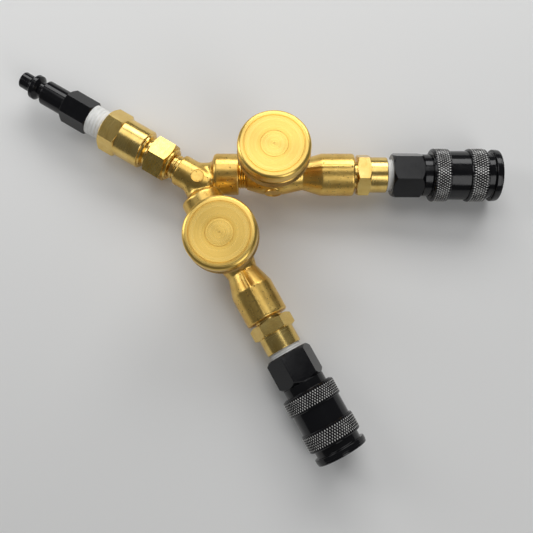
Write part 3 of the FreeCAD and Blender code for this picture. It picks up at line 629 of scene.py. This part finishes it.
def black_steel():
    """Glossy black oxide, with the crests of its knurl painted pale: partly real wear, partly a painted
    glint.
    """
    look = Finish("black_steel", (0.008, 0.008, 0.009), 0.0, 0.16)
    place = look.own_place()
    smudge = look.grain(place, 260, 4)
    look.shader.inputs["Specular IOR Level"].default_value = 0.36
    # Pale knurl crests: worn bare metal in part, and in part a painted glint that stays bright whatever
    # the light
    wear = look.math("MULTIPLY", look.spread(look.mark("crest"), 0.45, 0.65, 0.0, 1.0),
                     look.spread(smudge, 0.35, 0.65, 0.5, 1.0))
    look.set("Base Color", look.blend(wear, (0.005, 0.005, 0.006), (0.92, 0.91, 0.88)))
    look.set("Metallic", look.math("MULTIPLY", wear, 0.35))
    gloss = look.between(smudge, 0.08, 0.18)
    look.set("Roughness", look.math("ADD", gloss, look.math("MULTIPLY", wear, 0.25)))
    look.relief(look.rings(2400), 0.008, 0.4)
    look.relief(look.grain(place, 620, 3), 0.02, 0.6)
    return look.material


def thread_tape():
    """White sealing tape, matt, drawn tight over the thread."""
    look = Finish("ptfe_tape", (0.90, 0.90, 0.87), 0.0, 0.5)
    folds = look.grain(look.own_place(), 420, 4, 0.6, (3.0, 0.6, 0.6))
    tone = look.blend(look.between(folds, 0.0, 1.0), (0.80, 0.80, 0.77), (0.95, 0.95, 0.93))
    look.set("Base Color", tone)
    look.relief(folds, 0.08, 0.5)
    return look.material


def bright_steel():
    look = Finish("bright_steel", (0.60, 0.60, 0.61), 1.0, 0.2)
    scratches = look.grain(look.object_place(), 1400, 3)
    look.set("Roughness", look.between(scratches, 0.14, 0.30))
    look.relief(scratches, 0.005, 0.5)
    return look.material


def inner_brass():
    """Brass of the inner pieces, which have no turning coordinates of their own."""
    look = Finish("inner_brass", (0.82, 0.61, 0.22), 1.0, 0.26)
    marks = look.grain(look.object_place(), 1600, 3)
    look.set("Roughness", look.between(marks, 0.20, 0.36))
    look.relief(marks, 0.01, 0.5)
    return look.material


def plain_finish(name, colour, roughness, scale):
    look = Finish(name, colour, 0.0, roughness)
    grain = look.grain(look.object_place(), scale, 3)
    look.set("Roughness", look.between(grain, roughness - 0.1, roughness + 0.1))
    look.relief(grain, 0.02, 0.5)
    return look.material


FORGED = forged_brass()
BRASS = turned_brass()
SAWN = sawn_brass()
KNOB = knob_brass()
BLACK = black_steel()
TAPE = thread_tape()
STEEL = bright_steel()
INNER_BRASS = inner_brass()
PACKING = plain_finish("packing", (0.82, 0.81, 0.78), 0.5, 900)
RUBBER = plain_finish("seal_rubber", (0.02, 0.02, 0.02), 0.6, 1200)


# Inlet arm

def inlet_plug():
    inside = PLUG_HEX_NEAR + 7
    groove_near = PLUG_COLLAR_FAR + 1.2
    groove_far = PLUG_COLLAR_FAR + 2.8
    ring_near = PLUG_COLLAR_FAR + 4.5
    ring_far = PLUG_COLLAR_FAR + 6.3
    nose_near = PLUG_COLLAR_FAR + 8.0
    edge_round = 0.3
    ring_round = 0.4
    tip_round = 0.5
    mouth = 0.3
    nose = turned("plug_nose", [
        (inside, PLUG_BORE_R), (inside, PLUG_R), (PLUG_COLLAR_FAR, PLUG_R, edge_round),
        (groove_near, PLUG_NECK_R), (groove_far, PLUG_NECK_R),
        (ring_near, PLUG_R, ring_round), (ring_far, PLUG_R, ring_round),
        (nose_near, PLUG_NOSE_R, edge_round), (PLUG_TIP, PLUG_NOSE_R, tip_round),
        (PLUG_TIP, PLUG_BORE_R + mouth), (PLUG_TIP - mouth, PLUG_BORE_R), (inside, PLUG_BORE_R)])
    head = hexagon(
        "plug_hexagon", PLUG_HEX_NEAR, PLUG_HEX_FAR, PLUG_FLATS, PLUG_ROLL, PLUG_BORE_R, BLACK_WEAR)
    return joined("inlet_plug_turned", [nose, head])


def tape_wrap(name, x0, x1, r0, r1, pitch):
    """Sealing tape that shows the thread below it as soft ridges."""
    outline = [(x0, r0 - TAPE_DEPTH), (x0, r0)]
    count = int((x1 - x0) / pitch)
    for i in range(count):
        left = x0 + (x1 - x0) * i / count
        radius = r0 + (r1 - r0) * i / count
        for share, drop in TAPE_RIDGE:
            outline.append((left + pitch * share, radius - drop))
    outline += [(x1, r1), (x1, r1 - TAPE_DEPTH), (x0, r0 - TAPE_DEPTH)]
    wrap = turned(name, outline)
    inner = min(r0, r1) - 0.4
    pick(wrap, lambda place: place.yz.length > inner * MM)
    bpy.ops.transform.vertex_random(offset=TAPE_CREASE * MM, seed=4)
    bpy.ops.object.mode_set(mode="OBJECT")
    return wrap


def inlet_adapter():
    pitch = 1.3
    depth = 0.45
    thread_near = NUT_FAR - 0.3
    rim = ADAPTER_NEAR + 0.7
    barrel = turned("adapter_barrel", [
        (thread_near, 0), (thread_near, HOSE_THREAD_R - depth), (NUT_FAR, HOSE_THREAD_R - depth / 3)]
        + crests(NUT_FAR + 0.1, ADAPTER_NEAR, HOSE_THREAD_R, pitch, depth) + [
        (ADAPTER_NEAR, ADAPTER_R - 1.3), (rim, ADAPTER_R - 1.1),
        (rim, ADAPTER_R, 0.7), (ADAPTER_HEX_NEAR, ADAPTER_R), (ADAPTER_HEX_NEAR, 0)])
    head = hexagon("adapter_hexagon", ADAPTER_HEX_NEAR, ADAPTER_HEX_FAR, ADAPTER_FLATS, ADAPTER_ROLL)
    return joined("inlet_adapter_turned", [barrel, head])


def union_nut():
    bore_r = 4.9
    thread_r = 7.2
    shoulder_r = 7.7
    shoulder_far = NUT_HEX_NEAR + 0.2
    dish = NUT_NEAR + 0.3
    shoulder = turned("nut_shoulder", [
        (NUT_NEAR, bore_r), (dish, 5.2), (dish, 6.4), (NUT_NEAR, 6.7), (NUT_NEAR, shoulder_r, 0.9),
        (shoulder_far, shoulder_r), (shoulder_far, bore_r), (NUT_NEAR, bore_r)])
    head = hexagon("nut_hexagon", NUT_HEX_NEAR, NUT_FAR, NUT_FLATS, NUT_ROLL, thread_r)
    return joined("union_nut_turned", [shoulder, head])


def nipple():
    near = BOSS_REACH - 0.3
    far = NUT_NEAR + 0.2
    first_far = 5.6
    second_near = 6.0
    second_far = 7.1
    ring_round = 0.35
    return turned("inlet_nipple_turned", [
        (near, 0), (near, NIPPLE_R), (first_far, NIPPLE_R, ring_round), (first_far, NIPPLE_GROOVE_R),
        (second_near, NIPPLE_GROOVE_R), (second_near, NIPPLE_R, ring_round),
        (second_far, NIPPLE_R, ring_round), (second_far, NIPPLE_GROOVE_R), (far, NIPPLE_GROOVE_R),
        (far, 0)])


def inlet_tape():
    return tape_wrap("inlet_tape", ADAPTER_HEX_FAR, PLUG_HEX_NEAR, TAPE_WOUND_R, TAPE_R, PIPE_THREAD_PITCH)


settled(inlet_plug(), "inlet_plug_turned", INLET_PLACE, "fitting", BLACK, ["inlet_plug"])
settled(inlet_tape(), "inlet_tape_wound", INLET_PLACE, "fitting", TAPE,
        ["inlet_thread_tape"], TAPE_SHARP)
settled(inlet_adapter(), "inlet_adapter_turned", INLET_PLACE, "fitting", BRASS,
        ["inlet_adapter"])
settled(union_nut(), "inlet_union_nut_sawn", INLET_PLACE, "fitting", SAWN,
        ["inlet_union_nut"])
settled(nipple(), "inlet_nipple_turned", INLET_PLACE, "fitting", BRASS, ["inlet_nipple"])


# Y body

def y_body():
    crotch = COLLAR_NEAR / cos(OUTLET_ANGLE)
    socket = COLLAR_REACH - 0.8
    forms = [turned("y_boss", [
        (-BOSS_REACH, 0), (-BOSS_REACH, BOSS_R, 0.6), (crotch, BOSS_R, 3.0), (crotch, 0)])]
    for side in (1, -1):
        collar = turned("y_collar", [
            (0, 0), (0, ARM_NECK_R), (COLLAR_NEAR, ARM_NECK_R, 2.3), (COLLAR_NEAR, COLLAR_R, 1.8),
            (COLLAR_REACH, COLLAR_R, 0.4), (COLLAR_REACH, 7.3), (socket, 6.6), (socket, 0)])
        forms.append(turned_to(collar, Matrix.Rotation(side * OUTLET_ANGLE, 4, "Z")))
    body = joined("y_forging", forms)
    melted(body, HUB_VOXEL)
    softened(body, 40, lambda place: place.x > -BOSS_REACH * MM / 2 and place.length < HUB_REACH * MM)
    softened(body, 10, lambda place: place.length < ARM_REACH * MM)
    root = 5.5
    ring_foot = COIN_TOP - 0.15
    face = COIN_TOP - 0.02
    coin = turned("y_coin", [
        (root, 0), (root, COIN_R), (COIN_TOP, COIN_R, 0.08), (COIN_TOP, COIN_R - 0.22),
        (ring_foot, COIN_R - 0.28), (ring_foot, COIN_R - 0.4), (face, COIN_R - 0.5), (face, 0)], 72)
    coin_place = Matrix.Translation((COIN_X * MM, 0, 0)) @ Matrix.Rotation(-pi / 2, 4, "Y")
    return joined("y_body_forged", [body, turned_to(coin, coin_place)])


settled(y_body(), "y_body_forged", HUB_PLACE, "fitting", FORGED, ["y_body"], FORGED_SHARP)


# Valves

def seam(roll):
    """Parting line of the forging: a narrow raised rib along the cone and the barrel."""
    half = SEAM_HALF / VALVE_BARREL_R
    start = VALVE_NECK - 3
    end = VALVE_FAR - 0.9
    crest_r = VALVE_BARREL_R + SEAM_H
    rib = turned("valve_seam", [
        (start, VALVE_NECK_R - 0.6), (start, VALVE_NECK_R + 0.5), (VALVE_NECK, VALVE_NECK_R + SEAM_H),
        (VALVE_BARREL, crest_r), (end - 1, crest_r), (end, VALVE_BARREL_R - 0.2),
        (end, VALVE_BARREL_R - SEAM_ROOT), (VALVE_BARREL, VALVE_BARREL_R - SEAM_ROOT),
        (VALVE_NECK, VALVE_NECK_R - SEAM_ROOT), (start, VALVE_NECK_R - 0.6)], 4, 2 * half)
    only(rib)
    bpy.ops.object.mode_set(mode="EDIT")
    bpy.ops.mesh.select_all(action="SELECT")
    bpy.ops.mesh.fill_holes(sides=0)
    bpy.ops.mesh.select_all(action="SELECT")
    bpy.ops.mesh.normals_make_consistent(inside=False)
    bpy.ops.object.mode_set(mode="OBJECT")
    return turned_to(rib, Matrix.Rotation(roll - half, 4, "X"))


def valve_body(seam_roll):
    shell = turned("valve_shell", [
        (VALVE_NEAR, 0), (VALVE_NEAR, VALVE_NECK_R, 0.4),
        (VALVE_BULGE_NEAR, VALVE_BULGE_R, VALVE_BULGE_ROUND),
        (VALVE_BULGE_FAR, VALVE_BULGE_R, VALVE_BULGE_ROUND),
        (VALVE_NECK, VALVE_NECK_R, 0.5), (VALVE_BARREL, VALVE_BARREL_R, 0.5),
        (VALVE_FAR, VALVE_BARREL_R, 1.0), (VALVE_FAR, 0)])
    boss = turned("valve_boss", [(0, 0), (0, BONNET_R), (BONNET_TOP, BONNET_R, 0.5), (BONNET_TOP, 0)])
    neck = turned("valve_neck", [
        (0, 0), (0, BONNET_NECK_R), (BONNET_NECK_TOP, BONNET_NECK_R), (BONNET_NECK_TOP, 0)])
    forms = [shell, turned_to(boss, UPRIGHT), turned_to(neck, UPRIGHT), seam(seam_roll)]
    rims = []
    rim_foot = MEDAL_FACE - 0.9
    rim_in = MEDAL_R - 0.6
    for side in (1, -1):
        outward = Matrix.Translation((STEM_X * MM, 0, 0)) @ Matrix.Rotation(side * pi / 2, 4, "Z")
        medal = turned("valve_medal", [(0, 0), (0, MEDAL_R), (VALVE_BULGE_R, MEDAL_R), (VALVE_BULGE_R, 0)])
        forms.append(turned_to(medal, outward))
        rim = turned("valve_medal_rim", [
            (rim_foot, rim_in), (rim_foot, MEDAL_R), (MEDAL_FACE, MEDAL_R, 0.2),
            (MEDAL_FACE, rim_in, 0.2), (rim_foot, rim_in)])
        rims.append(turned_to(rim, outward))
    body = joined("valve_forging", forms)
    melted(body, VALVE_VOXEL)
    softened(body, 6, lambda place: place.x < (VALVE_FAR - 2) * MM)
    return joined("valve_body_forged", [body] + rims)


def valve_thread():
    pitch = 1.12
    depth = 0.55
    near = COLLAR_REACH - 1.1
    far = VALVE_NEAR + 0.1
    start = [(near, 0), (near, VALVE_THREAD_R - 0.5)]
    ridges = crests(near + 0.3, far, VALVE_THREAD_R, pitch, depth)
    return turned("valve_thread_turned", start + ridges + [(far, 0)])


def packing_nut():
    top_foot = PACKING_NUT_HEX_TOP - 0.5
    dish = PACKING_NUT_TOP - 0.4
    top = turned("packing_nut_top", [
        (top_foot, 0), (top_foot, PACKING_NUT_TOP_R), (PACKING_NUT_TOP, PACKING_NUT_TOP_R, 0.6),
        (PACKING_NUT_TOP, 2.9), (dish, 2.56), (dish, 0)])
    head = hexagon("packing_nut_hexagon", PACKING_NUT_BOTTOM, PACKING_NUT_HEX_TOP, PACKING_NUT_FLATS)
    return joined("packing_nut_turned", [top, head])


def knob():
    rows = 9
    steps = 220
    root = KNOB_R - KNURL_DEPTH
    edge = root - 0.32
    knurl_near = KNOB_BOTTOM + 0.4
    knurl_far = KNOB_BAND_TOP - 0.3
    groove_out = KNOB_GROOVE_R + 0.25
    groove_in = KNOB_GROOVE_R - 0.25
    groove_floor = KNOB_TOP - 0.3
    centre = KNOB_TOP - 0.24
    dimple = KNOB_TOP - 0.4
    below = [
        (KNOB_BOTTOM, 0), (KNOB_BOTTOM, KNOB_HUB_R, 0.3), (KNOB_RECESS_TOP, KNOB_HUB_R, 0.4),
        (KNOB_RECESS_TOP, KNOB_RECESS_R, 0.5), (KNOB_BOTTOM, KNOB_RECESS_R, 0.2), (KNOB_BOTTOM, edge, 0.1),
        (KNOB_BOTTOM + 0.25, root)]
    bead = [
        (KNOB_BAND_TOP, edge, 0.1), (KNOB_BAND_TOP, KNOB_STEP_R), (KNOB_STEP_TOP, KNOB_STEP_R),
        (KNOB_STEP_TOP, KNOB_BEAD_R, 0.4), (KNOB_TOP, KNOB_BEAD_R, KNOB_BEAD_ROUND)]
    face = [
        (KNOB_TOP, groove_out + 0.05), (groove_floor, groove_out - 0.1), (groove_floor, groove_in + 0.1),
        (KNOB_TOP - 0.02, groove_in - 0.05), (KNOB_TOP - 0.12, KNOB_GROOVE_R - 3),
        (KNOB_TOP - 0.22, KNOB_CENTRE_R + 0.2), (KNOB_TOP - 0.36, KNOB_CENTRE_R + 0.1),
        (centre, KNOB_CENTRE_R), (centre, 0.55), (dimple, 0.35), (dimple, 0)]
    piece = turned("knob_turned", below + rows_of(knurl_near, knurl_far, root, rows) + bead + face, steps)
    knurled(piece, knurl_near, knurl_far, rows, steps, KNOB_R / root)
    # Marks the outer knurl band that gets the painted shade
    rim = piece.data.attributes.new("rim", "FLOAT", "POINT")
    for vertex in piece.data.vertices:
        in_band = KNOB_BOTTOM + 0.2 < vertex.co.x / MM < KNOB_BAND_TOP - 0.1
        outside = vertex.co.yz.length > KNOB_PAINTED_SHADE_R * MM
        rim.data[vertex.index].value = 1.0 if in_band and outside else 0.0
    return piece


# Outlet adapters and couplers

def outlet_adapter():
    relief_r = 6.2
    near = VALVE_FAR - 0.5
    barrel_near = OUTLET_HEX_FAR - 0.4
    end = OUTLET_FAR - 0.3
    barrel = turned("outlet_barrel", [
        (near, 0), (near, relief_r), (barrel_near, relief_r), (barrel_near, OUTLET_BARREL_R),
        (OUTLET_FAR, OUTLET_BARREL_R, 0.5), (OUTLET_FAR, 7.0), (end, 6.8), (end, 0)])
    head = hexagon("outlet_hexagon", OUTLET_HEX_NEAR, OUTLET_HEX_FAR, OUTLET_FLATS)
    return joined("outlet_adapter_turned", [barrel, head])


def outlet_tape():
    lap = 0.1
    near_r = 7.2
    far_r = 7.26
    pitch = 1.2
    return tape_wrap("outlet_tape", OUTLET_FAR - lap, TAIL_NEAR + lap, near_r, far_r, pitch)


def coupler_tail(roll):
    thread_r = 7.0
    return hexagon(
        "coupler_tail_milled", TAIL_NEAR, TAIL_FAR, TAIL_FLATS, roll, thread_r, BLACK_WEAR, TAIL_SLOPE)


def coupler_barrel():
    near = TAIL_FAR - 8.4
    root_r = 7.6
    mouth = 0.8
    return turned("coupler_barrel_turned", [
        (near, CHAMBER_R), (near, root_r), (TAIL_FAR, root_r), (TAIL_FAR, BARREL_NECK_R, 0.2),
        (BARREL_SHOULDER, BARREL_NECK_R, 0.2), (BARREL_SHOULDER, BARREL_R), (BARREL_FAR, BARREL_R, 0.4),
        (BARREL_FAR, GUIDE_R + mouth), (BARREL_FAR - mouth, GUIDE_R), (GUIDE_NEAR, GUIDE_R),
        (GUIDE_NEAR, SOCKET_R), (SEAL_FAR, SOCKET_R), (SEAL_FAR, SEAL_R), (SEAL_NEAR, SEAL_R),
        (SEAL_NEAR, CHAMBER_R), (near, CHAMBER_R)])


def coupler_sleeve():
    steps = 126
    rows = 7
    root = SLEEVE_BAND_R - KNURL_DEPTH
    edge = root - 0.25
    outline = [(SLEEVE_NEAR, SLEEVE_BORE_R), (SLEEVE_NEAR, SLEEVE_R, 0.25)]
    knurls = []
    for near, far in SLEEVE_BANDS:
        knurl_near = near + 0.3
        knurl_far = far - 0.3
        outline += [(near, SLEEVE_R), (near, edge)] + rows_of(knurl_near, knurl_far, root, rows)
        outline += [(far, edge)]
        outline += [(far, SLEEVE_R)] if far < FLANGE_NEAR - 4 else []
        knurls.append((knurl_near, knurl_far))
    band_far = SLEEVE_BANDS[1][1]
    lip = SLEEVE_FAR - 1.2
    lip_r = FLANGE_R - 0.15
    outline += [
        (band_far, SLEEVE_NECK_R, 0.4), (FLANGE_NEAR, SLEEVE_NECK_R, 0.4), (FLANGE_NEAR, FLANGE_R, 0.4),
        (lip, FLANGE_R, 0.2), (lip, lip_r), (SLEEVE_FAR - 1.0, lip_r),
        (SLEEVE_FAR, FLANGE_R - 0.2, 0.7), (SLEEVE_FAR, MOUTH_R + 0.3), (SLEEVE_FAR - 0.3, MOUTH_R),
        (MOUTH_NEAR, MOUTH_R), (MOUTH_NEAR, SLEEVE_RELIEF_R), (RELIEF_NEAR, SLEEVE_RELIEF_R),
        (RIDGE_FAR, SLEEVE_RIDGE_R), (RIDGE_NEAR, SLEEVE_RIDGE_R), (RIDGE_NEAR, SLEEVE_BORE_R),
        (SLEEVE_NEAR, SLEEVE_BORE_R)]
    piece = turned("coupler_sleeve_turned", outline, steps)
    for near, far in knurls:
        knurled(piece, near, far, rows, steps, SLEEVE_BAND_R / root)
    return piece


for letter, place in OUTLETS.items():
    upright = place @ UPRIGHT
    end = "_" + letter
    settled(valve_body(SEAM_ROLL[letter]), "valve_body_forged" + end, place, "fitting",
            FORGED,
            ["valve_body" + end], FORGED_SHARP)
    settled(valve_thread(), "valve_thread_turned" + end, place, "fitting", BRASS)
    settled(packing_nut(), "packing_nut_turned" + end, upright, "fitting", BRASS,
            ["packing_nut" + end])
    settled(knob(), "knob_turned" + end, upright, "stem_and_knob" + end, KNOB, ["knob" + end])
    settled(outlet_adapter(), "outlet_adapter_turned" + end, place, "fitting", BRASS,
            ["outlet_adapter" + end])
    settled(outlet_tape(), "outlet_tape_wound" + end, place, "fitting", TAPE,
            ["outlet_thread_tape" + end], TAPE_SHARP)
    settled(coupler_tail(TAIL_ROLL[letter]), "coupler_tail_milled" + end, place, "fitting",
            BLACK,
            ["coupler_tail" + end])
    settled(coupler_barrel(), "coupler_barrel_turned" + end, place, "fitting", BLACK,
            ["coupler_barrel" + end])
    settled(coupler_sleeve(), "coupler_sleeve_turned" + end, place, "sleeve" + end, BLACK,
            ["coupler_sleeve" + end])

INNER_FINISHES = {
    "valve_ball": STEEL, "valve_stem": INNER_BRASS, "gland_washer": INNER_BRASS, "stem_packing": PACKING,
    "sleeve_spring": STEEL, "retaining_ring": STEEL, "seal_ring": RUBBER, "poppet": INNER_BRASS,
    "poppet_spring": STEEL, "locking_ball": STEEL,
}
for name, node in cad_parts.items():
    for start, finish in INNER_FINISHES.items():
        if name.startswith(start):
            for slot in node.material_slots:
                slot.material = finish


# Springs, copied from the CAD model

def spring(name):
    """Coil copied from the CAD model, merged, smoothed and set in steel."""
    coil = bpy.data.objects.new(name + "_coil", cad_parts[name].data.copy())
    bpy.context.collection.objects.link(coil)
    only(coil)
    bpy.ops.object.mode_set(mode="EDIT")
    bpy.ops.mesh.select_all(action="SELECT")
    bpy.ops.mesh.remove_doubles(threshold=COIL_MERGE_GAP)
    bpy.ops.object.mode_set(mode="OBJECT")
    bpy.ops.object.shade_smooth_by_angle(angle=radians(40))
    coil.data.materials.clear()
    coil.data.materials.append(STEEL)
    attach(coil, "fitting")
    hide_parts(name)
    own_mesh(coil)


for letter, place in OUTLETS.items():
    spring("sleeve_spring_" + letter)
    spring("poppet_spring_" + letter)


# Floor, light and camera

FLOOR_SIDE = 3.0


def floor():
    bpy.ops.object.select_all(action="DESELECT")
    bpy.ops.mesh.primitive_plane_add(size=FLOOR_SIDE, location=(HUB.x, 0, cad_box[0][2]))
    sheet = named("pale_floor")
    look = Finish("pale_floor", (0.86, 0.86, 0.85), 0.0, 0.7)
    sheet.data.materials.append(look.material)


def softbox(name, place, aim, width, depth, power, colour=(1, 1, 1)):
    bpy.ops.object.select_all(action="DESELECT")
    bpy.ops.object.light_add(type="AREA", location=place)
    box = bpy.context.object
    box.name = name
    box.data.shape = "RECTANGLE"
    box.data.size = width
    box.data.size_y = depth
    box.data.energy = power
    box.data.color = colour
    box.rotation_mode = "QUATERNION"
    box.rotation_quaternion = (Vector(aim) - Vector(place)).to_track_quat("-Z", "Y")


floor()
softbox("overhead_softbox", (-0.10, 0.30, 0.95), (0.05, 0.0, 0.0), 0.70, 0.50, 1.6)
softbox("key_softbox", (-0.10, 0.55, 0.42), (0.10, 0.0, 0.0), 0.80, 0.30, 2.8)
softbox("side_softbox", (-0.45, -0.10, 0.30), (0.1, 0.0, 0.0), 0.24, 0.45, 0.9)
softbox("right_softbox", (0.60, -0.20, 0.50), (0.12, -0.02, 0.0), 0.30, 0.50, 1.0)

world = bpy.data.worlds.new("studio")
bpy.context.scene.world = world
world.use_nodes = True
world.node_tree.nodes["Background"].inputs["Color"].default_value = (0.95, 0.97, 1.0, 1)
world.node_tree.nodes["Background"].inputs["Strength"].default_value = 0.11

camera_data = bpy.data.cameras.new("photo_camera")
camera = bpy.data.objects.new("photo_camera", camera_data)
bpy.context.collection.objects.link(camera)
camera_data.lens = 46.81
camera_data.clip_start = 0.01
camera_data.clip_end = 10.0
facing = Matrix((
    (0.860625, 0.509157, 0.009078),
    (-0.501939, 0.845147, 0.183802),
    (0.085912, -0.162741, 0.982921))).transposed()
camera.matrix_world = Matrix.Translation((0.15357, -0.07022, 0.30962)) @ facing.to_4x4()
bpy.context.scene.camera = camera
bpy.context.scene.view_settings.view_transform = "Standard"
